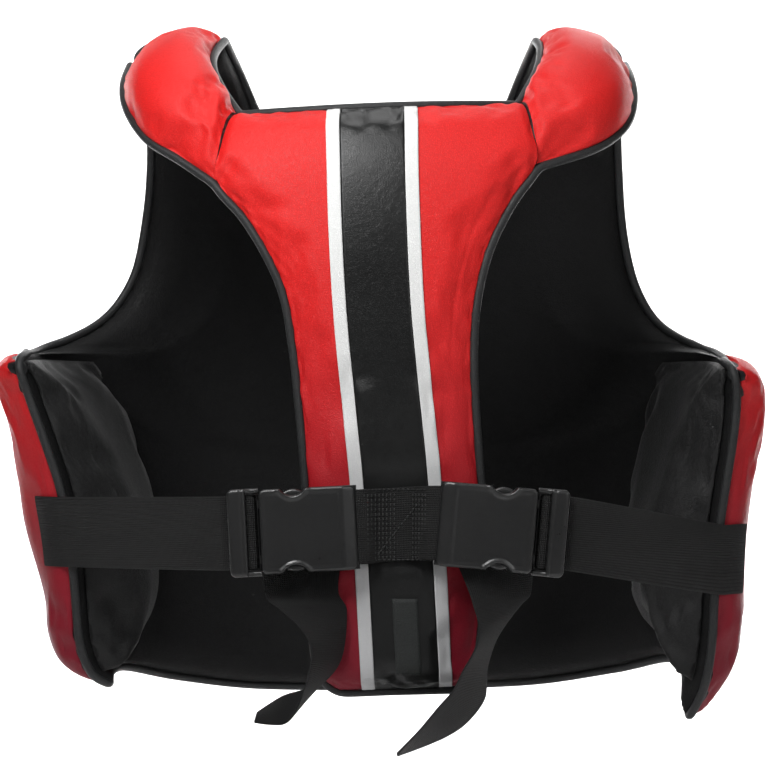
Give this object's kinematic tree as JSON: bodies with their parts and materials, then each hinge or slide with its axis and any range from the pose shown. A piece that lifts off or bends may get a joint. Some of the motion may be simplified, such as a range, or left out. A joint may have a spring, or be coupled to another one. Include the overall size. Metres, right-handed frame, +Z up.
{
  "type": "boxing chest guard",
  "caption": "Padded body protector that wraps the chest and ribs, with pads over both shoulders and a narrow back panel closed by webbing straps and side-release buckles.",
  "frame": {"origin": "where the guard sits on the wearer's shoulders: midway between the shoulder pads' undersides at their crest, on the middle plane", "axes": "+X to the wearer's right, +Y forward out of the chest, +Z up; the back panel with its stripes and buckles faces -Y"},
  "size_m": [0.5239, 0.3521, 0.489],
  "materials": {
    "red_cover": "smooth red leatherette with a fine grain, satin",
    "black_lining": "soft black lining, satin",
    "black_stripe": "smooth black leatherette, satin",
    "white_stripe": "smooth white leatherette, satin",
    "label": "blank woven tag",
    "piping": "dark grey leatherette piping over a round cord",
    "webbing": "woven black webbing",
    "buckle_plastic": "moulded black plastic, satin"
  },
  "bodies": {
    "root": {"front_shell": "red_cover", "front_lining": "black_lining", "rib_pad_left": "black_lining", "rib_pad_right": "black_lining", "shoulder_pad_left": "red_cover", "shoulder_lining_left": "black_lining", "shoulder_pad_right": "red_cover", "shoulder_lining_right": "black_lining", "back_panel": "red_cover", "back_lining": "black_lining", "stripe_black": "black_stripe", "stripe_white_left": "white_stripe", "stripe_white_right": "white_stripe", "blank_label": "label", "front_binding": "piping", "neck_binding": "piping", "back_binding": "piping", "centre_webbing": "webbing", "strap_left": "webbing", "strap_right": "webbing", "buckle_socket_left": "buckle_plastic", "buckle_plug_left": "buckle_plastic", "buckle_socket_right": "buckle_plastic", "buckle_plug_right": "buckle_plastic"}
  },
  "joints": []
}
